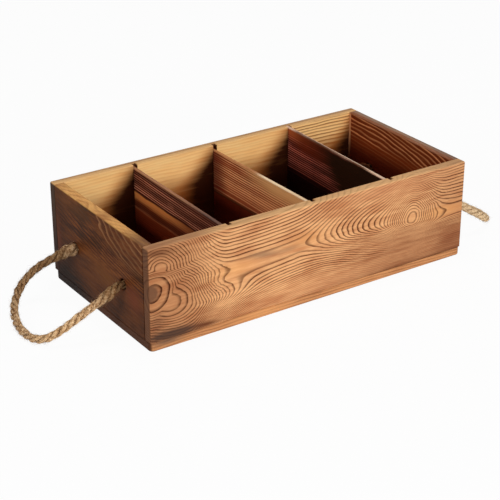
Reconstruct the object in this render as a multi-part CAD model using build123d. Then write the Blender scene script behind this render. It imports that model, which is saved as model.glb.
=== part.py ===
"""Coffee station organizer: an open wooden caddy with four compartments and two rope handles.

Two long grooved panels overlap two short end panels, and all four stand on a full-size
base board. Three thin dividers drop into grooves that are open at the rim. Each end panel
carries a loop of rope whose two ends pass through holes and are stopped by knots inside.

X runs along the caddy, to the right as seen from the front, Y runs to the back and Z is up.
The origin is the centre of the underside. All lengths are in millimetres.
"""
from build123d import *
import math
import os

os.makedirs("parts", exist_ok=True)

# The whole box
box_length = 350.0
box_depth = 178.0
box_height = 98.0
wall_thickness = 10.0
base_thickness = 8.3

# Eased edges
rim_outer_radius = 1.6
rim_inner_radius = 0.8
seam_easing = 0.7
base_lower_radius = 1.8
base_front_corner_radius = 4.5
base_back_corner_radius = 8.0

# Dividers and the grooves that hold them
divider_thickness = 3.5
divider_edge_radius = 0.8
divider_side_clearance = 0.5
divider_end_clearance = 0.3
groove_depth = 5.0
divider_pitch = 89.5

# Depth of each divider's top edge below the rim, at its front and at its back end
divider_front_drops = {"left": 5.4, "middle": 3.0, "right": 3.4}
divider_back_drops = {"left": 3.2, "middle": 5.2, "right": 0.4}

# Rope, its holes and its stopper knots
rope_diameter = 7.2
rope_hole_play = 1.6
rope_hole_spacing = 87.0
rope_hole_height = 47.5
rope_hole_easing = 0.8
rope_bend_offset = 5.5
rope_bend_gap = 0.3
knot_length = 14.5
knot_radius = 9.0
knot_seat_radius = 7.2
knot_tail_length = 8.0

# Brads through the long panels and nails through the base board
brad_radius = 0.8
brad_head_radius = 1.3
brad_head_thickness = 0.7
brad_length = 28.0
brad_set = 1.2
nail_radius = 0.9
nail_head_radius = 2.0
nail_head_thickness = 1.0
nail_length = 30.0
nail_set = 0.4
brad_height_shares = (0.16, 0.5, 0.84)
nail_bay_shares = (-1.5, -0.5, 0.5, 1.5)
end_nail_shares = (-0.18, 0.18)

# Length by which a cutting tool runs past the face that it opens
overrun = 1.0

# Sizes that follow from those above
panel_height = box_height - base_thickness
end_panel_length = box_depth - 2 * wall_thickness
groove_width = divider_thickness + 2 * divider_side_clearance
divider_length = end_panel_length + 2 * (groove_depth - divider_end_clearance)
divider_places = {"left": -divider_pitch, "middle": 0, "right": divider_pitch}
rope_radius = rope_diameter / 2
rope_hole_radius = rope_radius + rope_hole_play
rope_hole_places = {"front": -rope_hole_spacing / 2, "back": rope_hole_spacing / 2}
inner_face_x = box_length / 2 - wall_thickness
inner_face_y = box_depth / 2 - wall_thickness

# Free rope of each handle, as chosen points: distance out from the end panel,
# distance back from the middle of the caddy, and height above the table
left_rope_points = [
    (5.5, 43.5, 47.5), (13.0, 47.0, 43.5), (24.5, 53.5, 37.0), (36.5, 58.0, 29.5),
    (48.5, 57.5, 20.5), (59.0, 50.0, 13.5), (68.5, 36.5, 7.6), (75.0, 18.5, 4.6),
    (77.5, -1.0, 3.8), (75.5, -18.0, 4.2), (68.0, -30.0, 8.2), (54.5, -36.0, 17.0),
    (38.0, -39.5, 28.0), (23.0, -44.0, 37.5), (12.5, -45.0, 44.0), (5.5, -43.5, 47.5),
]
right_rope_points = [
    (5.5, -43.5, 47.5), (13.5, -49.5, 42.5), (24.5, -55.0, 35.0), (37.0, -58.5, 27.0),
    (49.0, -59.0, 19.5), (60.0, -56.5, 12.0), (68.5, -51.5, 6.7), (74.5, -42.5, 4.1),
    (76.8, -31.0, 3.8), (75.2, -17.5, 4.2), (69.0, -2.0, 7.7), (59.5, 14.0, 14.5),
    (47.5, 28.0, 22.0), (33.5, 38.5, 31.0), (18.5, 43.5, 40.0), (5.5, 43.5, 47.5),
]
rope_arc_share = 0.45


def across(solid, plane):
    """The same solid reflected in a plane through the middle of the caddy."""
    return mirror(solid, about=plane)


def peg(radius, head_radius, head_thickness, length):
    """Round fastener along +Z from its head face at the origin, with one step below its head."""
    head = Cylinder(head_radius, head_thickness, align=(Align.CENTER, Align.CENTER, Align.MIN))
    shank = Cylinder(radius, length, align=(Align.CENTER, Align.CENTER, Align.MIN))
    return head + shank


def panel_brads():
    """Brads set below the face of the front panel, into the edges of both end panels."""
    brad = peg(brad_radius, brad_head_radius, brad_head_thickness, brad_length)
    into_panel = Rot(-90, 0, 0) * brad
    end_x = box_length / 2 - wall_thickness / 2
    face_y = brad_set - box_depth / 2
    return [
        Pos(side * end_x, face_y, base_thickness + share * panel_height) * into_panel
        for side in (-1, 1)
        for share in brad_height_shares
    ]


def base_nails():
    """Flat-headed nails up through the base board into the lower edges of the walls."""
    nail = peg(nail_radius, nail_head_radius, nail_head_thickness, nail_length)
    wall_y = box_depth / 2 - wall_thickness / 2
    wall_x = box_length / 2 - wall_thickness / 2
    along = [(share * divider_pitch, side * wall_y) for side in (-1, 1) for share in nail_bay_shares]
    ends = [(side * wall_x, share * end_panel_length) for side in (-1, 1) for share in end_nail_shares]
    return [Pos(x, y, nail_set) * nail for x, y in along + ends]


def cut_all(solid, tools):
    """The solid with a hole for each tool."""
    for tool in tools:
        solid = solid - tool
    return solid


def front_panel():
    """Long panel with rounded outer edges and three grooves, open at the rim, in its inner face."""
    low_corner = (Align.CENTER, Align.MIN, Align.MIN)
    panel = Pos(0, -box_depth / 2, base_thickness) * Box(
        box_length, wall_thickness, panel_height, align=low_corner
    )
    corners = panel.edges().filter_by(Axis.Z).group_by(Axis.Y)[0]
    panel = fillet(corners, rim_outer_radius)
    top_edges = panel.faces().sort_by(Axis.Z)[-1].edges()
    inner_edge = top_edges.filter_by(Axis.X).sort_by(Axis.Y)[-1]
    panel = fillet(inner_edge, rim_inner_radius)
    top_edges = panel.faces().sort_by(Axis.Z)[-1].edges()
    outer_edge = top_edges.filter_by(Axis.X).sort_by(Axis.Y)[0]
    panel = fillet(outer_edge, rim_outer_radius)
    bottom_edges = panel.faces().sort_by(Axis.Z)[0].edges()
    seam_edge = bottom_edges.filter_by(Axis.X).sort_by(Axis.Y)[0]
    panel = chamfer(seam_edge, seam_easing)
    groove = Box(groove_width, groove_depth + overrun, panel_height + 2 * overrun)
    groove_y = -inner_face_y - groove_depth / 2 + overrun / 2
    groove_z = base_thickness + panel_height / 2
    grooves = [Pos(x, groove_y, groove_z) * groove for x in divider_places.values()]
    return cut_all(panel, grooves + panel_brads() + base_nails())


def left_end_panel():
    """Short panel between the long ones, with an eased rim and two eased rope holes."""
    outer_corner = (Align.MIN, Align.CENTER, Align.MIN)
    panel = Pos(-box_length / 2, 0, base_thickness) * Box(
        wall_thickness, end_panel_length, panel_height, align=outer_corner
    )
    hole = Rot(0, 90, 0) * Cylinder(rope_hole_radius, wall_thickness + 2 * overrun)
    wall_x = -box_length / 2 + wall_thickness / 2
    holes = [Pos(wall_x, y, rope_hole_height) * hole for y in rope_hole_places.values()]
    panel = cut_all(panel, holes)
    panel = chamfer(panel.edges().filter_by(GeomType.CIRCLE), rope_hole_easing)
    top_edges = panel.faces().sort_by(Axis.Z)[-1].edges().filter_by(Axis.Y)
    panel = fillet(top_edges.sort_by(Axis.X)[0], rim_outer_radius)
    top_edges = panel.faces().sort_by(Axis.Z)[-1].edges().filter_by(Axis.Y)
    panel = fillet(top_edges.sort_by(Axis.X)[-1], rim_inner_radius)
    bottom_edges = panel.faces().sort_by(Axis.Z)[0].edges().filter_by(Axis.Y)
    panel = chamfer(bottom_edges.sort_by(Axis.X)[0], seam_easing)
    front_brads = panel_brads()
    back_brads = [across(brad, Plane.XZ) for brad in front_brads]
    return cut_all(panel, front_brads + back_brads + base_nails())


def base_board():
    """Full-size board under the walls, with worn corners, a rounded lower and an eased upper edge."""
    outline = Rectangle(box_length, box_depth)
    front_corners = outline.vertices().group_by(Axis.Y)[0]
    outline = fillet(front_corners, base_front_corner_radius)
    back_corners = outline.vertices().group_by(Axis.Y)[-1]
    outline = fillet(back_corners, base_back_corner_radius)
    board = extrude(outline, base_thickness)
    board = fillet(board.faces().sort_by(Axis.Z)[0].edges(), base_lower_radius)
    board = chamfer(board.faces().sort_by(Axis.Z)[-1].edges(), seam_easing)
    wells = [
        Pos(nail.center().X, nail.center().Y, 0) * Cylinder(nail_head_radius, 2 * nail_set)
        for nail in base_nails()
    ]
    return cut_all(board, base_nails() + wells)


def divider(place):
    """Thin loose board that stands on the base board with both ends in the panels' grooves.
    Its top edge is a little out of level."""
    end_y = divider_length / 2
    front_top = box_height - divider_front_drops[place]
    back_top = box_height - divider_back_drops[place]
    outline = Polyline((-end_y, base_thickness), (end_y, base_thickness), (end_y, back_top),
                       (-end_y, front_top), close=True)
    face = make_face(Plane.YZ * outline)
    board = Pos(divider_places[place], 0, 0) * extrude(face, divider_thickness / 2, both=True)
    top_edges = board.faces().sort_by(Axis.Z)[-1].edges().filter_by(Axis.X, reverse=True)
    return fillet(top_edges, divider_edge_radius)


def rope_loop(name, points, side):
    """Free rope of one handle: straight runs joined by tangent arcs, with a dome on each end."""
    route = [
        Vector(side * (box_length / 2 + out), back, height)
        for out, back, height in points
    ]
    runs = [after - before for before, after in zip(route, route[1:])]
    radii = []
    for one, two in zip(runs, runs[1:]):
        half_turn = math.radians(one.get_angle(two)) / 2
        radii.append(rope_arc_share * min(one.length, two.length) / math.tan(half_turn))
    path = FilletPolyline(*route, radius=radii)
    section = Plane(origin=path @ 0, z_dir=path % 0) * Circle(rope_radius)
    tube = sweep(section, path=path)
    expected = math.pi * rope_radius ** 2 * path.length
    print(name, "radii", [round(radius, 1) for radius in radii])
    print(name, "length", round(path.length, 1), "volume over section x length",
          round(tube.volume / expected, 5))
    dome = Sphere(rope_radius, arc_size1=0, arc_size2=90,
                  align=(Align.CENTER, Align.CENTER, Align.NONE))
    start_dome = Plane(origin=path @ 0, z_dir=-(path % 0)) * dome
    end_dome = Plane(origin=path @ 1, z_dir=path % 1) * dome
    return tube + start_dome + end_dome


def rope_root(place):
    """Rope inside its hole on the left, from the knot to just outside the end panel."""
    root_length = wall_thickness + rope_bend_offset - rope_radius - rope_bend_gap
    root = Rot(0, -90, 0) * Cylinder(
        rope_radius, root_length, align=(Align.CENTER, Align.CENTER, Align.MIN)
    )
    return Pos(-inner_face_x, rope_hole_places[place], rope_hole_height) * root


def stopper_knot(place):
    """Knot seated round a hole inside the left end panel: two soft wraps and the rope's tail."""
    wrap_share = 0.55
    waist_share = 0.86
    first_wrap = knot_length * wrap_share
    waist_radius = knot_radius * waist_share
    tail_end = knot_length + knot_tail_length
    outline = Polyline((knot_length, rope_radius), (tail_end, rope_radius), (tail_end, 0), (0, 0),
                       (0, knot_seat_radius))
    outline += ThreePointArc((0, knot_seat_radius), (first_wrap / 2, knot_radius),
                             (first_wrap, waist_radius))
    bulge = ((first_wrap + knot_length) / 2, waist_radius)
    outline += ThreePointArc((first_wrap, waist_radius), bulge, (knot_length, rope_radius))
    knot = revolve(make_face(outline), Axis.X)
    return Pos(-inner_face_x, rope_hole_places[place], rope_hole_height) * knot


def group(solids):
    """Separate solids that share one node."""
    return Compound(children=list(solids))


front = front_panel()
left_end = left_end_panel()
front_brads = panel_brads()
nodes = {
    "base_board": base_board(),
    "front_panel": front,
    "back_panel": across(front, Plane.XZ),
    "left_end_panel": left_end,
    "right_end_panel": across(left_end, Plane.YZ),
    "front_corner_brads": group(front_brads),
    "back_corner_brads": group(across(brad, Plane.XZ) for brad in front_brads),
    "base_nails": group(base_nails()),
    "left_rope_handle": rope_loop("left_rope_handle", left_rope_points, -1),
    "right_rope_handle": rope_loop("right_rope_handle", right_rope_points, 1),
}
for place in divider_places:
    nodes[place + "_divider"] = divider(place)
for place in rope_hole_places:
    root = rope_root(place)
    knot = stopper_knot(place)
    nodes["left_" + place + "_rope_root"] = root
    nodes["left_" + place + "_knot"] = knot
    nodes["right_" + place + "_rope_root"] = across(root, Plane.YZ)
    nodes["right_" + place + "_knot"] = across(knot, Plane.YZ)

for name, solid in nodes.items():
    export_step(solid, "parts/" + name + ".step")
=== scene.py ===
"""Looks of the coffee station organizer: torched and brushed pine boards, loose dividers,
two handles of three-strand jute rope with stopper knots, on a pale studio floor.

Places are in metres in the row frame. Wood patterns are worked out in millimetres.
"""
import bpy
import math
import numpy as np
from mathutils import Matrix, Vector


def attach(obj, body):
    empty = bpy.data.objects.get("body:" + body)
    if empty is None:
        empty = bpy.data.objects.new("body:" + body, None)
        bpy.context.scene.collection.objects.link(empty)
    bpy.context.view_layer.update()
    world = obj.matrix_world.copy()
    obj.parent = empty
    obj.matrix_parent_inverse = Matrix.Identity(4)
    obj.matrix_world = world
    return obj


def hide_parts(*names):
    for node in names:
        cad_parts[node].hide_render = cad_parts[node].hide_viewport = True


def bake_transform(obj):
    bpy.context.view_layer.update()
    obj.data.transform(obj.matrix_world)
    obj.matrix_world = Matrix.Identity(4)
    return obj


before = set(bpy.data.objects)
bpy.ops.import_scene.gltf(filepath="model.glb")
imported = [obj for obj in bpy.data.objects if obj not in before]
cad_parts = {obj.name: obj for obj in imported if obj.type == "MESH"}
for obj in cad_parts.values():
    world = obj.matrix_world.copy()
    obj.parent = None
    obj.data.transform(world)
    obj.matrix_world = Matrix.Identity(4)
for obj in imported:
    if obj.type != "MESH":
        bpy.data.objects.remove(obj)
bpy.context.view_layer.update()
scene = bpy.context.scene

# Camera
CAMERA_PLACE = (-0.7266, -1.0584, 0.6334)
CAMERA_LENS = 106.9
AZIMUTH = math.radians(-34.02)
ELEVATION = math.radians(25.68)
camera_data = bpy.data.cameras.new("camera")
camera_data.sensor_width = 36.0
camera_data.lens = CAMERA_LENS
camera_data.clip_start = 0.05
camera_data.clip_end = 20.0
camera = bpy.data.objects.new("camera", camera_data)
scene.collection.objects.link(camera)
camera.location = CAMERA_PLACE
toward_camera = Vector((
    math.sin(AZIMUTH) * math.cos(ELEVATION),
    -math.cos(AZIMUTH) * math.cos(ELEVATION),
    math.sin(ELEVATION),
))
camera.rotation_mode = "QUATERNION"
camera.rotation_quaternion = (-toward_camera).to_track_quat("-Z", "Y")
scene.camera = camera
scene.view_settings.view_transform = "Standard"

# Sizes of the box, in millimetres
END_X = 175.0
DIVIDER_X = 89.5

# Sizes of the box and the rope, in metres
MM = 0.001
END_FACE = 0.175
INNER_FACE = 0.165
HOLE_Y = 0.0435
HOLE_Z = 0.0475
ROPE_DIAMETER = 0.0072
ROPE_LAY = 0.027
ROPE_STEP = 0.00045
YARNS = 9
FIBRE_RADIUS = 0.00009
FIBRE_CLEAR = 0.0003

# Swelling of the rope outside its holes: share of the radius, middle and half width, in metres
BACK_SWELL = (0.56, 0.0045, 0.0110)
FRONT_SWELL = (0.32, 0.0140, 0.0085)

# Free rope of each handle: out from the end panel, back from the middle, height, in mm
LEFT_ROPE = [
    (5.5, 43.5, 47.5), (13.0, 47.0, 43.5), (24.5, 53.5, 37.0), (36.5, 58.0, 29.5),
    (48.5, 57.5, 20.5), (59.0, 50.0, 13.5), (68.5, 36.5, 7.6), (75.0, 18.5, 4.6),
    (77.5, -1.0, 3.8), (75.5, -18.0, 4.2), (68.0, -30.0, 8.2), (54.5, -36.0, 17.0),
    (38.0, -39.5, 28.0), (23.0, -44.0, 37.5), (12.5, -45.0, 44.0), (5.5, -43.5, 47.5),
]
RIGHT_ROPE = [
    (5.5, -43.5, 47.5), (13.5, -49.5, 42.5), (24.5, -55.0, 35.0), (37.0, -58.5, 27.0),
    (49.0, -59.0, 19.5), (60.0, -56.5, 12.0), (68.5, -51.5, 6.7), (74.5, -42.5, 4.1),
    (76.8, -31.0, 3.8), (75.2, -17.5, 4.2), (69.0, -2.0, 7.7), (59.5, 14.0, 14.5),
    (47.5, 28.0, 22.0), (33.5, 38.5, 31.0), (18.5, 43.5, 40.0), (5.5, 43.5, 47.5),
]
# Rope inside its hole, before and after the free rope
ROOT_OUT = (-10.0, -3.0)


# Meshes from grids
def grid_mesh(points):
    """Mesh of a tube grid: points[i, j] is ring i, place j round it, and each ring closes on
    itself. Each end is closed by a fan round the ring's middle."""
    rings, round_count = points.shape[:2]
    verts = points.reshape(-1, 3)
    around = np.arange(round_count)
    after = (around + 1) % round_count
    ring = np.arange(rings - 1)[:, None] * round_count
    above = ring + round_count
    quads = np.stack([ring + around, ring + after, above + after, above + around], -1).reshape(-1, 4)
    first, last = len(verts), len(verts) + 1
    verts = np.vstack([verts, points[0].mean(0), points[-1].mean(0)])
    base = (rings - 1) * round_count
    start_fan = np.stack([np.full(round_count, first), after, around], -1)
    end_fan = np.stack([np.full(round_count, last), base + around, base + after], -1)
    return verts, quads, np.vstack([start_fan, end_fan])


def put_mesh(name, parts, smooth=True, crest=None):
    """One object from several (verts, quads, triangles) parts, with numpy arrays put straight
    into the mesh. crest is one number for each vertex, kept for the material."""
    verts, loops, starts, totals = [], [], [], []
    shift = place = 0
    for v, q, t in parts:
        verts.append(v)
        for faces, size in ((q, 4), (t, 3)):
            if len(faces):
                loops.append((faces + shift).ravel())
                starts.append(place + size * np.arange(len(faces)))
                totals.append(np.full(len(faces), size))
                place += size * len(faces)
        shift += len(v)
    verts = np.vstack(verts)
    loops, starts, totals = (np.concatenate(rows) for rows in (loops, starts, totals))
    mesh = bpy.data.meshes.new(name)
    mesh.vertices.add(len(verts))
    mesh.vertices.foreach_set("co", verts.astype(np.float32).ravel())
    mesh.loops.add(len(loops))
    mesh.loops.foreach_set("vertex_index", loops.astype(np.int32))
    mesh.polygons.add(len(starts))
    mesh.polygons.foreach_set("loop_start", starts.astype(np.int32))
    mesh.polygons.foreach_set("loop_total", totals.astype(np.int32))
    mesh.update(calc_edges=True)
    mesh.validate()
    mesh.polygons.foreach_set("use_smooth", np.full(len(starts), smooth))
    if crest is not None:
        kept = mesh.attributes.new("crest", "FLOAT", "POINT")
        kept.data.foreach_set("value", crest.astype(np.float32))
    piece = bpy.data.objects.new(name, mesh)
    scene.collection.objects.link(piece)
    return piece


# Ropes
def nurbs_line(name, points):
    """Points of the smooth NURBS line that has the given route as its control points."""
    curve = bpy.data.curves.new(name, "CURVE")
    curve.dimensions = "3D"
    curve.resolution_u = 24
    spline = curve.splines.new("NURBS")
    spline.points.add(len(points) - 1)
    for control, point in zip(spline.points, points):
        control.co = (*point, 1.0)
    spline.order_u = 3
    spline.use_endpoint_u = True
    holder = bpy.data.objects.new(name, curve)
    scene.collection.objects.link(holder)
    line = bpy.data.meshes.new_from_object(holder)
    found = np.empty(len(line.vertices) * 3)
    line.vertices.foreach_get("co", found)
    bpy.data.objects.remove(holder)
    bpy.data.meshes.remove(line)
    return found.reshape(-1, 3)


def even_line(points, step):
    """The same line with points at even steps along its length, and the length at each."""
    gaps = np.linalg.norm(np.diff(points, axis=0), axis=1)
    along = np.concatenate([[0.0], np.cumsum(gaps)])
    count = int(along[-1] / step) + 1
    places = np.linspace(0.0, along[-1], count)
    line = np.stack([np.interp(places, along, points[:, k]) for k in range(3)], -1)
    for _ in range(3):
        line[1:-1] = 0.25 * line[:-2] + 0.5 * line[1:-1] + 0.25 * line[2:]
    return line, places


def unit(vectors):
    """Each vector at length 1."""
    return vectors / np.linalg.norm(vectors, axis=-1, keepdims=True)


def line_frames(line):
    """Direction, level side and third axis at each point of a line that is never upright.
    The level side is the cross product of straight up and the direction."""
    direction = unit(np.gradient(line, axis=0))
    side = unit(np.cross(np.array([0.0, 0.0, 1.0]), direction))
    return direction, side, np.cross(direction, side)


def turned_frames(line):
    """As line_frames, for lines that may stand upright. The side is carried along: at each
    step, its share along the new direction is taken off."""
    direction = unit(np.gradient(line, axis=0))
    side = np.empty_like(direction)
    start = np.cross(direction[0], (0.0, 0.3, 1.0))
    side[0] = start / np.linalg.norm(start)
    for step in range(1, len(line)):
        carried = side[step - 1] - (side[step - 1] @ direction[step]) * direction[step]
        side[step] = carried / np.linalg.norm(carried)
    return direction, side, np.cross(direction, side)


def wander(places, seed, size, wave):
    """Smooth irregular number along a length: a sum of five sines with seeded phases."""
    chance = np.random.default_rng(seed)
    total = np.zeros_like(places)
    for _ in range(5):
        total += np.sin(2 * np.pi * places / (wave * chance.uniform(0.5, 2.2))
                        + chance.uniform(0, 2 * np.pi))
    return size * total / 2.2


def laid_strands(line, places, frames, radius, lay, seed, round_count=36, fray=None):
    """Three strands laid round a line. Strand k's middle is at angle 2 pi k / 3 minus one turn
    each lay, at 0.5 of the rope's radius from the line. Its section is a circle of 0.52 of the
    radius with one small crest for each yarn, and the crests turn the other way. Where fray
    is above 0 the strands move apart by that share."""
    _, side, third = frames
    parts = []
    fray = np.zeros_like(places) if fray is None else fray
    around = np.linspace(0, 2 * np.pi, round_count, endpoint=False)
    for strand in range(3):
        angle = 2 * np.pi * strand / 3 - 2 * np.pi * places / lay
        angle = angle + wander(places, seed + 11 * strand, 0.12, 0.03)
        out = np.cos(angle)[:, None] * side + np.sin(angle)[:, None] * third
        offset = radius * (0.50 + fray) * (1 + wander(places, seed + 5 + strand, 0.05, 0.018))
        middle = line + out * offset[:, None]
        ahead = unit(np.gradient(middle, axis=0))
        across = unit(np.cross(ahead, out))
        outward = np.cross(across, ahead)
        thick = radius * (0.52 + 0.25 * fray) * (1 + wander(places, seed + 31 + strand, 0.035, 0.012))
        turn = 2 * np.pi * places / (lay * 0.62)
        crest = np.abs(np.cos(0.5 * YARNS * (around[None, :] + turn[:, None])))
        uneven = wander(places[:, None] + 0.003 * around[None, :], seed + 71 + strand, 0.045, 0.005)
        section = thick[:, None] * (0.91 + 0.13 * crest + uneven)
        points = (middle[:, None, :]
                  + section[..., None] * (np.cos(around)[None, :, None] * outward[:, None, :]
                                          + np.sin(around)[None, :, None] * across[:, None, :]))
        parts.append(grid_mesh(points))
    return parts


def crest_share(parts, line, radius):
    """For each vertex of laid strands, its distance from the rope's middle as a share of the
    rope's radius: about 0.55 in a groove between strands and 1 on a strand's crest."""
    shares = []
    rings = len(line)
    for verts, _, _ in parts:
        grid = verts[:-2].reshape(rings, -1, 3)
        away = np.linalg.norm(grid - line[:, None, :], axis=-1) / radius[:, None]
        shares.append(np.concatenate([away.ravel(), [0.5, 0.5]]))
    return np.concatenate(shares)


def fibres(line, frames, radius, count, seed, length=(0.003, 0.009), spread=0.9):
    """Loose jute fibres: each leaves the rope's surface nearly along it and bends away as the
    square of its length. A fibre is a three-sided tube that thins to its tip."""
    chance = np.random.default_rng(seed)
    direction, side, third = frames
    rows = chance.integers(2, len(line) - 2, count)
    angle = chance.uniform(0, 2 * np.pi, count)
    out = np.cos(angle)[:, None] * side[rows] + np.sin(angle)[:, None] * third[rows]
    lean = np.cross(direction[rows], out)
    way = np.where(chance.random(count) < 0.5, -1.0, 1.0)[:, None]
    long = chance.uniform(length[0], length[1], count)[:, None]
    bow = chance.uniform(0.15, spread, count)[:, None]
    swing = chance.uniform(-0.8, 0.3, count)[:, None]
    steps = np.linspace(0, 1, 6)
    start = line[rows] + out * (radius[rows, None] * chance.uniform(0.75, 0.97, count)[:, None])
    t = steps[None, :, None]
    base = start[:, None, :]
    middle = (base + long[:, None] * t * (direction[rows] * way)[:, None, :]
              + long[:, None] * bow[:, None] * t ** 2 * 0.5 * out[:, None, :]
              + long[:, None] * swing[:, None] * t ** 2 * 0.6 * lean[:, None, :])
    middle[..., 2] = np.maximum(middle[..., 2], FIBRE_CLEAR)
    corner = np.linspace(0, 2 * np.pi, 3, endpoint=False)
    wide = (FIBRE_RADIUS * (1.05 - 0.8 * steps))[None, :, None, None]
    ring = (np.cos(corner)[None, None, :, None] * out[:, None, None, :]
            + np.sin(corner)[None, None, :, None] * lean[:, None, None, :])
    points = middle[:, :, None, :] + wide * ring
    verts = points.reshape(-1, 3)
    hair = np.arange(count)[:, None, None] * 18
    foot = hair + np.arange(5)[None, :, None] * 3
    j = np.arange(3)[None, None, :]
    k = (j + 1) % 3
    quads = np.stack([foot + j, foot + k, foot + 3 + k, foot + 3 + j], -1).reshape(-1, 4)
    root = np.arange(count) * 18
    ends = np.vstack([np.stack([root, root + 2, root + 1], -1),
                      np.stack([root + 15, root + 16, root + 17], -1)])
    flip = (way[:, 0] < 0)
    turned = quads.reshape(count, -1, 4)
    turned[flip] = turned[flip][:, :, ::-1]
    caps = ends.reshape(2, count, 3)
    caps[:, flip] = caps[:, flip][:, :, ::-1]
    return verts, turned.reshape(-1, 4), caps.reshape(-1, 3)


def rope_route(rows, side):
    """Route of a whole handle in metres: through one hole, round the loop, through the other."""
    def place(row):
        out, back, height = row
        return (side * (END_FACE + out * MM), back * MM, height * MM)
    first, last = rows[0], rows[-1]
    before = [(out, first[1], first[2]) for out in ROOT_OUT]
    after = [(out, last[1], last[2]) for out in reversed(ROOT_OUT)]
    return [place(row) for row in before + list(rows) + after]


def rope_handle(name, rows, side, seed):
    """One handle between its two knots: the rope and its loose fibres. It swells by bells just
    outside the holes, where the lay has opened, and is packed tight against the knots."""
    word = "left" if side < 0 else "right"
    raw = nurbs_line(name + "_line", rope_route(rows, side))
    line, places = even_line(raw, ROPE_STEP)
    frames = line_frames(line)
    out = side * line[:, 0] - END_FACE
    swell = 0.0
    for (most, middle, half), here in ((BACK_SWELL, line[:, 1] > 0), (FRONT_SWELL, line[:, 1] < 0)):
        swell = swell + most * np.where(here, np.exp(-((out - middle) / half) ** 2), 0.0)
    inside = 1 / (1 + np.exp((out - 0.0006) / 0.0006))
    share = 1 + swell * (1 - inside) + wander(places, seed + 3, 0.035, 0.014)
    share = np.where(out < 0.0006, np.minimum(share, 1.10), share)
    packed = 0.26 / (1 + np.exp((out + 0.0070) / 0.0005))
    radius = 0.5 * ROPE_DIAMETER * (share + packed)
    parts = laid_strands(line, places, frames, radius, ROPE_LAY, seed,
                         fray=0.10 * swell * (1 - inside))
    rope = put_mesh(name, parts, crest=crest_share(parts, line, radius))
    rows_out = np.nonzero(out > 0.002)[0]
    cut = slice(rows_out[0], rows_out[-1])
    loose_fibres = fibres(line[cut], tuple(f[cut] for f in frames), radius[cut], 2200, seed + 100,
                          length=(0.002, 0.008))
    hairs = put_mesh(name + "_fibres", [loose_fibres], crest=np.full(len(loose_fibres[0]), 0.9))
    for piece in (rope, hairs):
        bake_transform(piece)
    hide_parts(word + "_rope_handle", word + "_front_rope_root", word + "_back_rope_root")
    [tuple(p) for p in line[::4]] + [tuple(line[-1])]
    return rope, hairs


# Knot: route of the rope in it, in millimetres. The first number is the distance in from the
# inner face, then sideways and up from the hole's middle. It goes in along the hole's line,
# turns back round itself and is tucked under its own turn.
KNOT_ROUTE = [
    (0.2, 0.0, 0.0), (3.5, 0.0, 0.2), (7.8, -0.8, 1.7), (11.2, 1.3, 4.8), (9.5, 5.5, 2.9),
    (5.6, 5.2, -2.4), (3.4, 0.6, -5.6), (3.7, -5.0, -2.8), (4.9, -4.5, 3.4), (7.4, 0.4, 5.8),
    (10.5, 5.0, 1.5), (10.7, 2.6, -4.3), (9.2, -3.2, -4.4), (10.4, -5.0, 0.2),
    (13.2, -1.5, 1.5), (17.2, 0.2, 0.0), (22.2, 0.6, -0.6),
]
KNOT_ROPE_RADIUS = 0.0030
KNOT_LAY = 0.022
KNOT_STEP = 0.0005
TAIL_POINTS = 22


def knot(place, side, seed):
    """Stopper knot of the same rope inside an end panel, with its frayed tail."""
    word = "left" if side < 0 else "right"
    back = HOLE_Y if place == "back" else -HOLE_Y
    hand = 1 if place == "back" else -1
    route = [(side * (INNER_FACE - into * MM), back + hand * across * MM, HOLE_Z + up * MM)
             for into, across, up in KNOT_ROUTE]
    raw = nurbs_line(word + "_" + place + "_knot_line", route)
    line, places = even_line(raw, KNOT_STEP)
    frames = turned_frames(line)
    to_end = places[-1] - places
    radius = KNOT_ROPE_RADIUS * (1 + wander(places, seed, 0.03, 0.02))
    radius = radius * np.clip(0.35 + to_end / 0.0012, 0.35, 1.0)
    fray = 0.35 * np.exp(-(to_end / 0.0035) ** 2)
    parts = laid_strands(line, places, frames, radius, KNOT_LAY, seed, round_count=30, fray=fray)
    crest = crest_share(parts, line, radius)
    parts.append(fibres(line, frames, radius, 220, seed + 9, length=(0.002, 0.0045)))
    tail = slice(len(line) - TAIL_POINTS, len(line))
    tail_frames = tuple(f[tail] for f in frames)
    parts.append(fibres(line[tail], tail_frames, radius[tail] * 0.8, 90, seed + 17,
                        length=(0.003, 0.006), spread=1.6))
    crest = np.concatenate([crest, np.full(sum(len(part[0]) for part in parts[3:]), 0.9)])
    name = word + "_" + place + "_rope_knot"
    piece = put_mesh(name, parts, crest=crest)
    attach(piece, "box")
    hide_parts(word + "_" + place + "_knot")
    return piece


left_knots = [knot("front", -1, 40), knot("back", -1, 47)]
right_knots = [knot("front", 1, 54), knot("back", 1, 61)]
left_rope, left_fibres = rope_handle("left_rope", LEFT_ROPE, -1, 3)
right_rope, right_fibres = rope_handle("right_rope", RIGHT_ROPE, 1, 23)


# Numbers and colours worked out by nodes
def feed(tree, slot, value):
    """Puts a number, a colour or what another node gives into a node's slot."""
    if isinstance(value, Sum):
        tree.links.new(value.socket, slot)
    elif isinstance(value, tuple):
        slot.default_value = (*value, 1.0)
    elif isinstance(value, (int, float)):
        slot.default_value = float(value)
    else:
        tree.links.new(value, slot)


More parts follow.
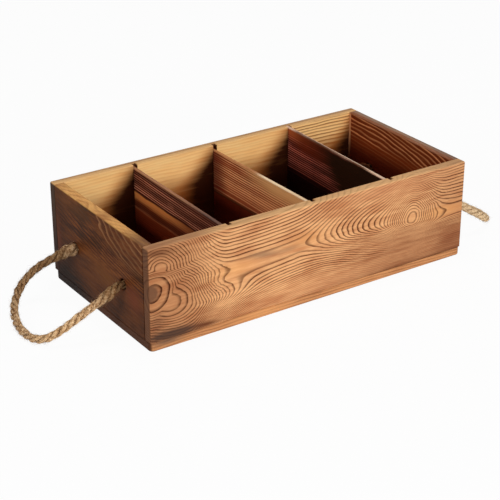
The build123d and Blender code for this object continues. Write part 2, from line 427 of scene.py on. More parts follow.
class Sum:
    """A number that Math nodes work out at each point of a surface. Python's signs join them."""

    def __init__(self, tree, socket):
        self.tree = tree
        self.socket = socket

    def join(self, operation, *others, first=None):
        node = self.tree.nodes.new("ShaderNodeMath")
        node.operation = operation
        values = ([first] if first is not None else [self]) + list(others)
        for slot, value in zip(node.inputs, values):
            feed(self.tree, slot, value)
        return Sum(self.tree, node.outputs[0])

    def __add__(self, other):
        return self.join("ADD", other)

    __radd__ = __add__

    def __sub__(self, other):
        return self.join("SUBTRACT", other)

    def __rsub__(self, other):
        return self.join("SUBTRACT", self, first=other)

    def __mul__(self, other):
        return self.join("MULTIPLY", other)

    __rmul__ = __mul__

    def __truediv__(self, other):
        return self.join("DIVIDE", other)

    def root(self):
        return self.join("SQRT")

    def exp(self):
        return self.join("EXPONENT")

    def size(self):
        return self.join("ABSOLUTE")

    def part(self):
        """What is left above the whole number below."""
        return self.join("FRACT")

    def whole(self):
        return self.join("FLOOR")

    def least(self, other):
        return self.join("MINIMUM", other)

    def most(self, other):
        return self.join("MAXIMUM", other)

    def held(self):
        """Kept between 0 and 1."""
        return self.most(0.0).least(1.0)

    def step(self, low, high):
        """Smooth step from 0 at low to 1 at high."""
        node = self.tree.nodes.new("ShaderNodeMapRange")
        node.interpolation_type = "SMOOTHSTEP"
        feed(self.tree, node.inputs["Value"], self)
        ends = (low, high, 0.0, 1.0) if low < high else (high, low, 1.0, 0.0)
        for word, value in zip(("From Min", "From Max", "To Min", "To Max"), ends):
            node.inputs[word].default_value = value
        return Sum(self.tree, node.outputs["Result"])


class Finish:
    """A new material with its Principled shader, and tools to paint it."""

    def __init__(self, name):
        self.material = bpy.data.materials.new(name)
        self.material.use_nodes = True
        self.tree = self.material.node_tree
        self.tree.nodes.clear()
        new, link = self.tree.nodes.new, self.tree.links.new
        self.shader = new("ShaderNodeBsdfPrincipled")
        link(self.shader.outputs[0], new("ShaderNodeOutputMaterial").inputs["Surface"])
        split = new("ShaderNodeSeparateXYZ")
        link(new("ShaderNodeTexCoord").outputs["Object"], split.inputs[0])
        self.x, self.y, self.z = (Sum(self.tree, split.outputs[k]) * 1000.0 for k in range(3))

    def noise(self, x, y, z, detail=2.0, rough=0.5):
        """Noise from about -1 to 1 at a place given by three numbers."""
        joined = self.tree.nodes.new("ShaderNodeCombineXYZ")
        for slot, value in zip(joined.inputs, (x, y, z)):
            feed(self.tree, slot, value)
        node = self.tree.nodes.new("ShaderNodeTexNoise")
        node.noise_dimensions = "3D"
        for word, value in (("Scale", 1.0), ("Detail", detail), ("Roughness", rough),
                            ("Vector", joined.outputs[0])):
            feed(self.tree, node.inputs[word], value)
        return Sum(self.tree, node.outputs[0]) * 2.0 - 1.0

    def ramp(self, value, stops):
        """Colour read off a row of (place, colour) stops."""
        node = self.tree.nodes.new("ShaderNodeValToRGB")
        feed(self.tree, node.inputs[0], value)
        line = node.color_ramp
        while len(line.elements) < len(stops):
            line.elements.new(0.5)
        for element, (place, colour) in zip(line.elements, stops):
            element.position = place
            element.color = (*colour, 1.0)
        return node.outputs["Color"]

    def mix(self, share, under, over, way="MIX"):
        """Colour over laid on colour under by a share, which the node keeps between 0 and 1.
        Either may be a plain colour."""
        node = self.tree.nodes.new("ShaderNodeMix")
        node.data_type = "RGBA"
        node.blend_type = way
        node.clamp_factor = True
        for place, value in ((0, share), (6, under), (7, over)):
            feed(self.tree, node.inputs[place], value)
        return node.outputs[2]

    def stained(self, colour, *stains):
        """Colour under a row of marks, stains and on some boards painted shade, the first lowest.
        Each has a share, a colour and, where it isn't a plain mix, the way to mix."""
        for share, over, *way in stains:
            colour = self.mix(share, colour, over, *way)
        return colour

    def wear(self, colour, height, strength, distance, rough):
        """Joins colour, height and roughness to the shader."""
        self.tree.links.new(colour, self.shader.inputs["Base Color"])
        bump = self.tree.nodes.new("ShaderNodeBump")
        for word, value in (("Strength", strength), ("Distance", distance), ("Height", height)):
            feed(self.tree, bump.inputs[word], value)
        self.tree.links.new(bump.outputs[0], self.shader.inputs["Normal"])
        feed(self.tree, self.shader.inputs["Roughness"], rough)


def rgb(red, green, blue):
    """Linear colour from a screen colour of 0 to 255."""
    return tuple(((c / 255 + 0.055) / 1.055) ** 2.4 if c > 10 else c / 255 / 12.92
                 for c in (red, green, blue))


def turned(u, v, middle, half, turn):
    """Distances from a middle along axes turned by so many degrees, over the half widths."""
    c, s = math.cos(math.radians(turn)), math.sin(math.radians(turn))
    du, dv = u - middle[0], v - middle[1]
    return (du * c + dv * s) * (1.0 / half[0]), (dv * c - du * s) * (1.0 / half[1])


def hill(u, v, middle, half, turn=0.0):
    """Bell of height 1: exp(-(a squared + b squared)), with a and b the turned distances."""
    a, b = turned(u, v, middle, half, turn)
    return ((a * a + b * b) * -1.0).exp()


def past(value, soft):
    """The value where it is above 0 and 0 below, with a round corner of the given size."""
    return ((value * value + soft * soft).root() + value) * 0.5


def lower(one, other, soft):
    """The smaller of two numbers, with a round corner where they are equal."""
    gap = one - other
    return (one + other - (gap * gap + soft * soft).root()) * 0.5


def ring_distance(u, v, middle, axes, turn=0.0):
    """Distance from a middle, measured in an ellipse with these axes turned by so many degrees."""
    a, b = turned(u, v, middle, axes, turn)
    return (a * a + b * b + 0.3).root()


def burl_rings(x, z):
    """Rings round the half knot at the left edge, round the lobe at its lower right and round
    the small eye above it. The lowest of the three counts holds at each place."""
    lift = (z - 56.5).step(11.5, 20) * 7
    knot = ring_distance(x, z + lift, (-171, 56.5), (0.96, 1))
    knot_count = knot * 0.11 + 0.02 + 0.29 * past(knot - 18, 1) \
        - 0.2 * past(knot - 46, 3) * hill(0, z, (0, 53), (1, 13))
    lobe = ring_distance(x, z, (-154, 43.6), (1.35, 0.95), -14)
    lobe_count = lobe * 0.077 + 2.05 + 0.105 * past(lobe - 6.5, 1) + 0.03 * past(lobe - 12, 2) \
        + 0.17 * past(lobe - 16.5, 1)
    eye = ring_distance(x, z, (-162, 79), (1.14, 0.88), -20)
    eye_count = eye * 0.10 + 5.05 + 0.24 * past(eye - 5, 1) + 0.03 * past(eye - 16, 3)
    return lower(lower(knot_count, lobe_count, 0.5), eye_count, 0.5)


def front_rings(x, z):
    """Count of year rings across the front panel. A channel of plain wood runs along the
    middle, and the count rises above and below it as a hyperbola. To the right it falls
    towards an eye, and to the left it goes over into the rings of a burl."""
    middle = 57 + 7 * hill(x, 0, (18, 0), (52, 1)) - 5 * x.step(85, 150)
    off = z - middle
    low = (off * -1).step(4, 27)
    tight = 3 - 0.75 * hill(x, 0, (108, 0), (40, 1))
    bowl = ((off * off + 130).root() - 11.4) / tight + 0.22 * past(off * -1 - 27, 4)
    slope = 13 * x.step(-22, 92) * (1 - 0.62 * low)
    eye = 11 * hill(x, off * (0.35 + 0.25 * low), (112, 0), (22, 22))
    fall = 0.20 * past(-98 - x, 6) * (1 - 0.7 * low)
    arch = past(-42 - x, 8)
    channel = bowl - slope - eye - fall - 0.0024 * arch * arch * low + 0.2
    share = x.step(-136, -104)
    return channel * share + (burl_rings(x, z) - 18) * (1 - share)


# Wood
GRAIN_HEIGHT = 0.16
GRAIN_TILT = 0.01
END_GRAIN_X = 174.2


def board_finish(name, rings, tones, lines=0.8, edge=(0.30, 0.86), fibre_axis="x", paint=None,
                 rim=None, rim_top=(98, 0), rim_marks=lambda x, y: (), rough=0.6, wave=(14, 0.9),
                 fine_wave=(5, 0.22), spread=1, uneven=0.45, end=None):
    """Torched and brushed wood. rings(finish, x, y, z, push) counts the year rings at a place. In
    each ring the early wood goes over to a late-wood line, which grows between the two shares of
    a ring in edge and ends sharply. lines is the line's strength, a number or a function of the
    place, and uneven says how far the lines differ. Streaks and fibres run along fibre_axis, and
    spread scales how far the early wood wanders between its tones. paint lays burns, stains and,
    on some boards, painted shade over it. rim has the tones of the sanded top edge, rim_top its
    height and slope along Y, and rim_marks its stains. end has the tones of end grain, where the
    board shows any."""
    f = Finish(name)
    x, y, z = f.x, f.y, f.z
    sx, sy, sz = {"x": (0.3, 1, 1), "y": (1, 0.3, 1)}[fibre_axis]
    big, small = wave[0], fine_wave[0]
    drift = f.noise(x * (sx / big), y * (sy / big), z * (sz / big), detail=1)
    shake = f.noise(x * (sx / small), y * (sy / small), z * (sz / small) + 7.3, detail=2)
    push = drift * wave[1] + shake * fine_wave[1]
    count = rings(f, x, y, z, push)
    phase = count.part()
    chance = f.noise(count.whole() * 0.73, 0.5, 2.5, detail=0)
    late = phase.step(*edge) * (1 - phase.step(0.93, 1))
    late = late * (0.90 + uneven * chance)
    streak = f.noise(x * (sx * sx / 3), y * (sy * sy / 3), z * (sz * sz / 3), detail=3)
    fibre = f.noise(x * (sx * sx * 1.6), y * (sy * sy * 1.6), z * (sz * sz * 1.6), detail=3,
                    rough=0.65)
    cloud = f.noise(x / 46, y / 46, z / 24 + 3.1, detail=2)
    pale, middle, dark = tones
    tone = (0.34 + (cloud * 0.30 + streak * 0.42 + fibre * 0.36) * spread).held()
    brown = tuple(a + (b - a) * 0.45 for a, b in zip(middle, dark))
    colour = f.ramp(tone, [(0, pale), (0.60, middle), (1, brown)])
    shown = lines(x, y, z) if callable(lines) else lines
    colour = f.mix(late * shown * (0.92 + 0.5 * cloud + 0.5 * streak), colour, dark)
    if paint:
        colour = paint(f, colour, x, y, z, late, cloud, streak)
    if end:
        grain = f.ramp((late * 0.6 + fibre * 0.35 + 0.3).held(), [(0, end[0]), (1, end[1])])
        colour = f.mix(x.size().step(END_GRAIN_X, END_GRAIN_X + 0.6) * 0.97, colour, grain)
    if rim:
        height, slope = rim_top
        top = (z - y * slope).step(height - 1.5, height - 0.2) * (0.90 + 0.25 * streak)
        sanded = f.ramp((late * 0.45 + fibre * 0.7 + streak * 0.7 + 0.28).held(),
                        [(0, rim[0]), (1, rim[1])])
        for share, stain in rim_marks(x, y):
            sanded = f.mix(share * (0.9 + 0.5 * streak), sanded, stain)
        colour = f.mix(top, colour, sanded)
    height = late * 0.6 + fibre * 0.45 + streak * 0.25
    f.wear(colour, height, 0.55, GRAIN_HEIGHT * MM, rough - late * 0.10 + fibre * 0.05)
    f.shader.inputs["Specular IOR Level"].default_value = 0.05
    return f.material


def groove_shade(f, colour, x, y):
    """The insides of the three grooves, darkened by painted shade in these recesses."""
    away = x.size().least((x.size() - DIVIDER_X).size())
    inside = away.step(2.55, 2.25) * y.size().step(79, 79.3) * y.size().step(84.4, 84.1)
    return f.mix(inside, colour, rgb(92, 50, 28))


def front_board_rings(f, x, y, z, push):
    """The front panel's figure, carried through its thickness."""
    jag = f.noise(x / 2.4, 0, z / 2, detail=1) * hill(x, z, (-103, 48), (14, 16)) * 1.3
    return front_rings(x + push * 1.2 + jag, z + push * 0.8 + jag * 0.5) + (y + 89) * 0.11


def front_line_strength(x, y, z):
    """The figure is fainter along the foot and at the right above and below the eye, where its
    lines are closest."""
    foot = z.step(36, 20) * x.step(-90, -50)
    plain = hill(x, z, (92, 90), (44, 16)) + hill(x, z, (95, 34), (50, 9))
    return 1.05 - (foot * 0.52).most(plain * 0.36)


def front_stains_and_shade(f, colour, x, y, z, late, cloud, streak):
    """Torch marks and stains of the front panel, each a soft place by its own size, and painted
    shade inside its grooves.
    """
    lower_right = z.step(66, 24) * x.step(-30, 100)
    far = x.step(84, 158) * 0.55
    foot = z.step(22, 10) * hill(x, 0, (72, 0), (85, 1)) * 0.30
    scorch = 1.3 * hill(x, z, (-152, 12.5), (26, 5.2), -2) \
        + 0.35 * hill(x, z, (-168, 27), (9, 9))
    second = hill(x, z, (-118, 11.5), (12, 2.4), -2)
    heart = hill(x, z, (-174, 56.5), (9.4, 9))
    corner = hill(x, z, (163, 18), (20, 14), 10)
    grey = hill(x, z, (-58, 62.5), (17, 3.4), -7) + 0.7 * hill(x, z, (-28, 61), (13, 2.6))
    top = hill(x, z, (-166, 93), (17, 4), -8)
    seam = z.step(12.5, 8.6) * (0.08 + 0.4 * streak + 0.42 * x.step(0, 120))
    glow = hill(x, z, (150, 53), (24, 6)) + hill(x, z, (-88, 57), (22, 7)) \
        + 0.8 * hill(x, z, (-10, 66), (20, 7))
    plain = 0.8 * hill(x, z, (82, 92), (64, 13)) + 0.6 * hill(x, z, (0, 14), (75, 8))
    colour = f.stained(
        colour,
        ((cloud * 1.1 + streak * 0.5 + 0.10).held() * (1 - late), rgb(186, 116, 72)),
        (x.step(-90, -150), (0.66, 0.58, 0.56), "MULTIPLY"),
        (far.most(lower_right), (0.63, 0.55, 0.54), "MULTIPLY"),
        (foot, (0.56, 0.52, 0.52), "MULTIPLY"),
        ((scorch * (1 + 0.7 * streak)).held() * 0.90, rgb(70, 52, 44)),
        ((second * (1 + 0.5 * streak)).held() * 0.9, rgb(92, 46, 26)),
        ((heart * 3 - 0.9).held() * 0.92, rgb(112, 76, 54)),
        ((corner * (0.9 + 0.4 * streak)).held() * 0.6, rgb(126, 72, 46)),
        (grey * 0.7, rgb(132, 98, 76)),
        (top * 0.75, rgb(98, 56, 34)),
        (seam, rgb(112, 66, 40)),
        ((glow * 0.45).held() * (1 - late * 0.8), rgb(238, 172, 106)),
        (plain * (0.58 + 0.6 * streak), rgb(188, 124, 84)))
    # Painted shade inside the grooves.
    return groove_shade(f, colour, x, y)


def flat_rings(angle, spacing, depth, bend, along="x"):
    """Nearly straight grain: rings cross the face at a slight angle in degrees and bow by a
    parabola, and the depth into the board counts too."""
    slope = math.tan(math.radians(angle))

    def rings(f, x, y, z, push):
        u, w = (x, y) if along == "x" else (y, x)
        bow = (u - bend[0]) * (u - bend[0]) * bend[1]
        return (z + u * slope + bow + push * 2) / spacing + w * depth
    return rings


def back_board_rings(f, x, y, z, push):
    """Rings counted by the distance from a point just outside the outer side, in an ellipse that
    is long along the board: long ovals on the outer side and level lines on the inner side."""
    off = z - 52 + push * 2.4
    return ((x + 40) * (x + 40) * 0.006 + off * off + (y - 96) * (y - 96) * 2.2).root() / 2.6


def back_stains_and_shade(f, colour, x, y, z, late, cloud, streak):
    """Golden inner side that browns and darkens downwards, painted shade under the front panel,
    and, through an orange fringe, towards the right corner of each bay, painted shadow of the
    divider there. Browner lines in the last bay. The outer side is a tone darker."""
    outer = y.step(84, 88)
    inner = 1 - outer
    bay = x.step(84, 96) * inner
    # Place across each bay, for the painted shadow that the divider at its right casts, fanning out
    # downwards.
    near = ((x + 3 * DIVIDER_X) / DIVIDER_X).part() - (z - 62).most(0) * 0.011
    shadow_fringe = near.step(0.38, 0.64) * inner
    corner = near.step(0.48, 0.80) * inner
    scorch = hill(x, z, (120, 14), (34, 6)) * outer
    colour = f.stained(
        colour,
        (bay * late * 0.85, rgb(134, 68, 28)),
        # Painted shade: darker downwards in the last bay and in every bay, under the front panel.
        (bay * z.step(84, 56) * 0.6, rgb(160, 92, 44)),
        (z.step(82, 52) * inner * (0.85 + 0.3 * streak), rgb(188, 110, 50)),
        (z.step(64, 34) * inner, rgb(60, 28, 14)),
        # Painted shadow of each divider in the bay's right corner, with an orange fringe at its edge.
        (shadow_fringe * (0.55 + 0.3 * streak), rgb(184, 102, 40)),
        (corner * (1.05 + 0.3 * streak), rgb(56, 24, 8)),
        ((scorch * (1 + 0.5 * streak)).held() * 0.85, rgb(74, 46, 34)),
        (outer * (0.62 + 0.3 * cloud + 0.2 * streak), rgb(206, 136, 82)),
        (outer * late * (0.75 + 0.5 * streak), rgb(112, 62, 34)))
    # Painted shade inside the grooves.
    return groove_shade(f, colour, x, y)


def arch_distance(y, z):
    """Distance from the middle of the left end's arch of rings, at its upper front corner."""
    return ring_distance(y, z, (-80, 112), (2.2, 1))


def left_end_rings(f, x, y, z, push):
    """Fine grain that sinks towards the front, and an arch of wider rings round the upper front
    corner. The two run into each other over a few millimetres."""
    flat = y * 0.10 - z + (y + 30) * (y + 30) * 0.0006
    away = arch_distance(y, z)
    arch = (away - 41) * 0.46 - 84.7
    share = away.step(52, 40)
    return (flat * (1 - share) + arch * share + push * 3.2) / (4 + y * 0.006) + x * 0.13


def left_end_line_strength(x, y, z):
    """Lines show in a band that sinks to the front, and in the arch."""
    off = (z - 67 - y * 0.085) / (14 - y * 0.05)
    return 0.36 + 0.9 * (off * off * -1).exp().most(hill(y, z, (-60, 90), (46, 20)))


def left_end_stains(f, colour, x, y, z, late, cloud, streak):
    """Dark end panel: a brown stain that deepens towards the back, redder and orange places over
    it, and black low down at the back."""
    arch = arch_distance(y, z).step(48, 42) * (0.75 + 0.5 * streak)
    red = hill(y, z, (-62, 41), (14, 11)) + 0.7 * hill(y, z, (78, 44), (7, 26))
    orange = hill(y, z, (-14, 42), (26, 9), 8) + 0.5 * hill(y, z, (50, 90), (40, 8))
    low = z.step(28, 4) * 0.45 + hill(y, z, (58, 10), (40, 18)) * 0.95 \
        + hill(y, z, (-40, 26), (14, 9)) * 0.35
    return f.stained(
        colour,
        (z.step(56, 40) * 0.55, rgb(84, 47, 25)),
        (late * arch * 1.4, rgb(158, 104, 62)),
        ((1 - late) * arch * 0.45, rgb(72, 34, 20)),
        (cloud * 1.2 + streak * 0.5, rgb(58, 38, 20)),
        (y.step(26, 76) * 0.66, rgb(56, 32, 19)),
        (red * 0.75 * (0.9 + 0.5 * streak), rgb(122, 60, 36)),
        (orange * 0.7 * (0.9 + 0.5 * streak), rgb(124, 74, 34)),
        (low * (0.9 + 0.6 * streak), rgb(42, 26, 18)))


def right_end_stains_and_shade(f, colour, x, y, z, late, cloud, streak):
    """The inner side is smooth and redder under its upper grain lines, darker low down, which is
    painted shade deep in the box, and darker towards the back, with a pale upright strip in its
    back corner."""
    inner = x.step(171, 166)
    return f.stained(
        colour,
        (inner * z.step(80, 72) * 0.85, rgb(140, 58, 22)),
        # Painted shade: darker low down in the box.
        (inner * z.step(74, 56), rgb(104, 36, 16)),
        (inner * y.step(40, 74) * 0.32, rgb(84, 36, 16)),
        (inner * y.step(75.6, 76.8) * z.step(40, 80) * 0.85, rgb(232, 166, 116)))


def divider_finish(name, x_middle, top, slope, tones, spacing, paint, rim, rim_marks, lines):
    """Thin board with close straight grain and light grain lines. Its stains and painted shade are
    given by their depth below its top edge, which slopes along Y."""

    def rings(f, x, y, z, push):
        return (z - y * (slope + GRAIN_TILT) + push * 1.4) / spacing + (x - x_middle) * 0.12

    # paint lays the divider's stains and its painted shade.
    def stains(f, colour, x, y, z, late, cloud, streak):
        return paint(f, colour, y, top + y * slope - z, streak)

    return board_finish(name, rings, tones, lines=lines, edge=(0.34, 0.66), fibre_axis="y", paint=stains,
                        rim=rim, rim_top=(top, slope), rim_marks=rim_marks, wave=(26, 0.9),
                        fine_wave=(6, 0.3), rough=0.58, spread=1.4, uneven=1.5)


def left_divider_stains_and_shade(f, colour, y, depth, streak):
    """Purple-brown above, a golden band, a light scratch line, and nearly black at the bottom,
    which is painted shade deep in the bay.
    """
    level = depth + streak * 2.2
    golden = level.step(21.5, 24) * level.step(33, 27)
    dark = level.step(20, 21.5) * level.step(24, 22.5) \
        + level.step(32, 34) * level.step(39.5, 38) * 0.5
    scratch = ((level - 40) * (level - 40) * -0.6).exp() * y.step(-15, 15)
    return f.stained(
        colour,
        (level.step(21, 23) * 0.8, rgb(138, 62, 32)),
        (golden * y.step(-50, 30) * 0.95, rgb(236, 148, 80)),
        (dark * 0.9, rgb(58, 22, 14)),
        (scratch * 0.8, rgb(214, 136, 92)),
        (y.step(30, -50) * 0.35, rgb(84, 36, 22)),
        (level.step(38, 41) * level.step(58, 50) * 0.6, rgb(146, 58, 28)),
        # Painted shade: nearly black at the bottom of the bay.
        (level.step(50, 58), rgb(70, 12, 8)))


def middle_divider_stains_and_shade(f, colour, y, depth, streak):
    """Red brown at the back, tan towards the front, with one dark line and a lower half
    darkened by painted shade.
    """
    level = depth + streak * 1.6
    line = ((level - 42) * (level - 42) * -0.5).exp()
    return f.stained(
        colour,
        (y.step(48, 76) * 0.8, rgb(104, 44, 30)),
        (level.step(18, 26) * y.step(66, 50) * 0.22, rgb(236, 156, 104)),
        (level.step(18, 4) * y.step(40, -34) * 0.95, rgb(255, 198, 130)),
        (y.step(30, -40) * level.step(40, 30) * 0.3, rgb(240, 158, 96)),
        # Painted shade: darker below the dark line.
        (level.step(41, 43.5), rgb(104, 40, 20)),
        (line * 0.85, rgb(60, 24, 12)),
        # Painted shade: nearly black low down, most towards the back.
        (level.step(42, 56) * y.step(-30, 30), rgb(70, 20, 8)))


def right_divider_stains_and_shade(f, colour, y, depth, streak):
    """A black burn under the rim that widens towards the front, red brown behind it, fine light
    lines lower down, and black at the bottom: painted shade deep in the bay."""
    level = depth + streak * 2
    warm = level.step(15, 3) * y.step(20, 74)
    red = level.step(24, 12) * y.step(-20, 20) * y.step(80, 50)
    burn = level.step(0.8, 2.2) * (level - 30 + y * 0.50 + streak * 16).step(17, -15) \
        * y.step(56, -16)
    return f.stained(
        colour,
        (warm * 0.85, rgb(196, 104, 58)),
        (red * 0.75, rgb(106, 34, 10)),
        (burn * 1.25, rgb(40, 20, 8)),
        # Painted shade: black at the bottom of the bay.
        (level.step(38, 47), rgb(22, 4, 4)))


woods = {}
woods["front_panel"] = board_finish(
    "torched_pine_front", front_board_rings,
    (rgb(242, 185, 129), rgb(210, 148, 100), rgb(84, 42, 22)), lines=front_line_strength,
    edge=(0.46, 0.88), wave=(16, 2), fine_wave=(4, 0.7), paint=front_stains_and_shade,
    rim=(rgb(232, 184, 130), rgb(196, 146, 98)),
    rim_marks=lambda x, y: ((x.step(-80, -140) * 0.9, rgb(162, 112, 78)),
                            (x.step(110, 172) * 0.6, rgb(160, 116, 86))),
    end=(rgb(128, 86, 60), rgb(92, 58, 38)))
woods["back_panel"] = board_finish(
    "golden_pine_back", back_board_rings,
    (rgb(255, 214, 146), rgb(254, 196, 124), rgb(206, 132, 70)), lines=0.28, paint=back_stains_and_shade,
    rim=(rgb(208, 162, 114), rgb(166, 122, 82)),
    rim_marks=lambda x, y: ((x.step(60, 160) * 0.5, rgb(156, 120, 98)),
                            (y.step(87, 88.8) * 0.75, rgb(118, 96, 78)),
                            (y.step(84.6, 82.6) * 0.90, rgb(232, 182, 122))),
    end=(rgb(66, 44, 36), rgb(38, 24, 22)))
woods["left_end_panel"] = board_finish(
    "burnt_pine_left", left_end_rings,
    (rgb(136, 78, 38), rgb(86, 45, 21), rgb(36, 15, 9)), lines=left_end_line_strength,
    edge=(0.42, 0.86), fibre_axis="y", paint=left_end_stains,
    rim=(rgb(250, 192, 116), rgb(186, 122, 68)), spread=1.9,
    rim_marks=lambda x, y: ((y.step(-34, -74) * 0.95, rgb(104, 66, 44)),
                            (y.step(56, 80) * 0.6, rgb(170, 112, 66)),
                            (hill(y, 0, (-8, 0), (9, 1)) * 0.6, rgb(150, 92, 52))))
woods["right_end_panel"] = board_finish(
    "burnt_pine_right", flat_rings(-6.5, 4.6, 0.2, (30, 0.0008), "y"),
    (rgb(122, 50, 20), rgb(136, 60, 26), rgb(252, 164, 106)), lines=0.90, edge=(0.50, 0.80),
    wave=(18, 1.7), fine_wave=(5, 0.4), uneven=1.3,
    fibre_axis="y", paint=right_end_stains_and_shade, rim=(rgb(168, 136, 112), rgb(124, 96, 78)), spread=1.5,
    rim_marks=lambda x, y: ((y.step(-30, -84) * 0.8, rgb(104, 84, 72)),
                            (x.step(172.6, 174.6) * 0.7, rgb(98, 80, 68)),
                            (x.step(170.2, 168.2) * 0.85, rgb(140, 78, 42))))


def base_stains(f, colour, x, y, z, late, cloud, streak):
    """A dark seam under the walls, a grey scorch at the left end, a lighter stretch left of the
    middle, and both ends stained as the end panels over them."""
    end = x.size().step(172.6, 174.4)
    return f.stained(
        colour,
        (z.step(7.3, 8.2) * (0.10 + 0.6 * x.step(0, 110)), rgb(84, 48, 30)),
        (hill(x, z, (-158, 7), (16, 3)) * 0.7, rgb(84, 70, 62)),
        (hill(x, 0, (-62, 0), (30, 1)) * 0.6, rgb(230, 164, 104)),
        (end, rgb(88, 54, 36)),
        (end * y.step(-10, 45) * (0.95 + 0.4 * streak), rgb(38, 27, 23)))


woods["base_board"] = board_finish(
    "torched_pine_base", flat_rings(1.5, 2.9, 0.11, (40, 0.0001)),
    (rgb(216, 154, 102), rgb(190, 130, 84), rgb(128, 78, 46)), lines=0.55, paint=base_stains)
woods["left_divider"] = divider_finish(
    "stained_divider_left_painted_shade", -DIVIDER_X, 93.7, 0.01314,
    (rgb(46, 13, 9), rgb(68, 21, 13), rgb(228, 146, 112)), 2.3, left_divider_stains_and_shade,
    rim=(rgb(196, 140, 100), rgb(150, 100, 68)), lines=0.70,
    rim_marks=lambda x, y: ((y.step(10, -50) * 0.95, rgb(94, 68, 60)),))
woods["middle_divider"] = divider_finish(
    "stained_divider_middle_painted_shade", 0, 93.9, -0.01314,
    (rgb(134, 44, 22), rgb(162, 62, 34), rgb(255, 190, 130)), 2.45, middle_divider_stains_and_shade,
    rim=(rgb(206, 142, 92), rgb(160, 100, 58)), lines=1,
    rim_marks=lambda x, y: ((y.step(12, -8) * 0.95, rgb(255, 226, 186)),))
woods["right_divider"] = divider_finish(
    "stained_divider_right_painted_shade", DIVIDER_X, 96.1, 0.01792,
    (rgb(42, 8, 6), rgb(56, 16, 10), rgb(214, 118, 98)), 2.3, right_divider_stains_and_shade,
    rim=(rgb(252, 216, 186), rgb(206, 166, 138)), lines=0.54,
    rim_marks=lambda x, y: (((x - DIVIDER_X).step(0.5, -0.1) * y.step(-58, -38) * y.step(76, 62),
                             rgb(84, 50, 28)),))


def jute_finish():
    """Jute: straw to brown fibres, browner up at the box, partly from handling and partly painted
    shade of the box, and palest where a loop lies low. The knots inside the box are darkened by
    painted shade, nearly black. The grooves between strands hold dust and shade, which the
    pieces' own crest numbers give."""
    f = Finish("jute_fibre")
    x, y, z = f.x, f.y, f.z
    patch = f.noise(x / 7, y / 7, z / 7, detail=2)
    fleck = f.noise(x / 2, y / 2, z / 2 + 9, detail=1)
    yarn = f.noise(x / 1.2, y / 1.2, z / 1.2 + 4, detail=3, rough=0.7)
    thread = f.noise(x / 0.4, y / 0.4, z / 0.4, detail=2, rough=0.7)
    tone = (0.44 + patch * 0.40 + fleck * 0.65 + yarn * 0.75 + thread * 0.35).held()
    colour = f.ramp(tone, [(0, rgb(252, 222, 180)), (0.40, rgb(214, 174, 130)),
                           (0.72, rgb(166, 122, 82)), (1, rgb(98, 64, 40))])
    out = x.size() - END_X
    right = x.step(-10, 10)
    low_front = y.step(-5, -25) * z.step(36, 26)
    by_front_hole = out.step(32, 14) * y.step(0, -20)
    by_back_hole = z.step(0, 22) * y.step(-30, 30) * out.step(6, 14) * 0.9
    kept = f.tree.nodes.new("ShaderNodeAttribute")
    kept.attribute_name = "crest"
    groove = Sum(f.tree, kept.outputs["Fac"]).step(0.93, 0.60)
    colour = f.stained(
        colour,
        (right * 0.40, rgb(255, 232, 190)),
        (low_front * (1 - right) * 0.16, rgb(250, 210, 154)),
        # Browner by the holes: handling wear and painted shade of the box.
        (by_front_hole.most(by_back_hole) * (1 - right * 0.7), (0.42, 0.36, 0.30), "MULTIPLY"),
        # Painted shade: the knots inside the box, nearly black.
        (out.step(-5, -8), (0.14, 0.06, 0.04), "MULTIPLY"),
        (groove * (0.62 + fleck * 0.8), (0.30, 0.24, 0.18), "MULTIPLY"))
    f.wear(colour, yarn * 0.6 + thread * 0.6, 0.8, 0.30 * MM, 0.88)
    f.shader.inputs["Specular IOR Level"].default_value = 0.04
    return f.material


def steel_finish():
    """Brushed steel of brads and nails, a little dulled in places."""
    f = Finish("dull_steel")
    spot = f.noise(f.x / 1.1, f.y / 1.1, f.z / 1.1, detail=3)
    colour = f.ramp((0.5 + spot * 0.5).held(), [(0, rgb(150, 148, 144)), (1, rgb(206, 204, 200))])
    f.wear(colour, spot, 0.2, 0.05 * MM, 0.42 + spot * 0.12)
    f.shader.inputs["Metallic"].default_value = 1
    return f.material


jute = jute_finish()
steel = steel_finish()
for node_name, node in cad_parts.items():
    other = jute if "rope" in node_name or "knot" in node_name else steel
    finish_material = woods.get(node_name, other)
    if not node.material_slots:
        node.data.materials.append(finish_material)
    for slot in node.material_slots:
        slot.material = finish_material
for piece in (left_rope, left_fibres, right_rope, right_fibres, *left_knots, *right_knots):
    piece.data.materials.append(jute)


# Floor and light
WHITE = (1.0, 1.0, 1.0)
FLOOR_GREY = (0.82, 0.82, 0.82)
FLOOR_WIDTH = 14.0
FLOOR_HEIGHT = -0.0002
FLOOR_LIFT = 0.95
WORLD_STRENGTH = 0.25


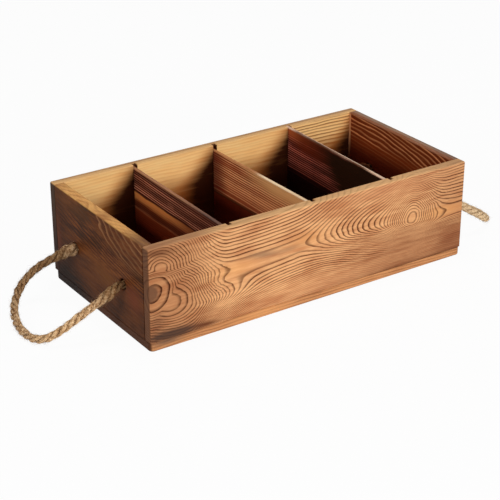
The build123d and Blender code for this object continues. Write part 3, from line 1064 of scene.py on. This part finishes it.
def seen_white(tree, plain, white_kind, end_kind, lift):
    """Ends a tree in its plain shader, mixed towards white by the share lift on rays from the
    camera, a mirror-like surface or clear glass."""
    seen = tree.nodes.new("ShaderNodeLightPath")
    rays = Sum(tree, seen.outputs["Is Camera Ray"])
    for kind in ("Is Glossy Ray", "Is Transmission Ray"):
        rays = rays.most(Sum(tree, seen.outputs[kind]))
    white = tree.nodes.new(white_kind)
    feed(tree, white.inputs["Color"], WHITE)
    white.inputs["Strength"].default_value = 1.0
    mixed = tree.nodes.new("ShaderNodeMixShader")
    feed(tree, mixed.inputs[0], rays * lift)
    feed(tree, mixed.inputs[1], plain.outputs[0])
    feed(tree, mixed.inputs[2], white.outputs[0])
    end = tree.nodes.new(end_kind)
    feed(tree, end.inputs["Surface"], mixed.outputs[0])


def studio_floor():
    """Pale matt floor, one large flat square a hair below the caddy. To the camera it is lifted
    towards white by a share, with the shadows kept."""
    half, z = FLOOR_WIDTH / 2, FLOOR_HEIGHT
    verts = np.array([(-half, -half, z), (half, -half, z), (half, half, z), (-half, half, z)])
    floor = put_mesh("studio_floor", [(verts, np.array([[0, 1, 2, 3]]), np.zeros((0, 3), int))], False)
    material = bpy.data.materials.new("pale_floor")
    material.use_nodes = True
    tree = material.node_tree
    tree.nodes.clear()
    matt = tree.nodes.new("ShaderNodeBsdfDiffuse")
    feed(tree, matt.inputs["Color"], FLOOR_GREY)
    seen_white(tree, matt, "ShaderNodeEmission", "ShaderNodeOutputMaterial", FLOOR_LIFT)
    floor.data.materials.append(material)


def studio_world():
    """Even white light from all round. Camera, mirror and glass rays see plain white."""
    world = bpy.data.worlds.new("studio")
    scene.world = world
    world.use_nodes = True
    tree = world.node_tree
    tree.nodes.clear()
    soft = tree.nodes.new("ShaderNodeBackground")
    feed(tree, soft.inputs["Color"], WHITE)
    soft.inputs["Strength"].default_value = WORLD_STRENGTH
    seen_white(tree, soft, "ShaderNodeBackground", "ShaderNodeOutputWorld", 1.0)


def soft_lamp(name, place, aim, size, watts):
    """Square soft box at a place, facing a point."""
    data = bpy.data.lights.new(name, "AREA")
    data.shape = "SQUARE"
    data.size = size
    data.energy = watts
    lamp = bpy.data.objects.new(name, data)
    scene.collection.objects.link(lamp)
    lamp.location = place
    way = Vector(aim) - Vector(place)
    lamp.rotation_mode = "QUATERNION"
    lamp.rotation_quaternion = way.to_track_quat("-Z", "Y")


studio_floor()
studio_world()
soft_lamp("key_soft_box", (0.23, -2.25, 0.60), (0.0, -0.08, 0.05), size=0.50, watts=31.0)
soft_lamp("top_soft_box", (0.0, 0.1, 2.20), (0.0, 0.0, 0.10), size=0.60, watts=13.0)
soft_lamp("side_soft_box", (-1.75, -0.47, 0.93), (0.0, 0.0, 0.08), size=0.50, watts=8.5)
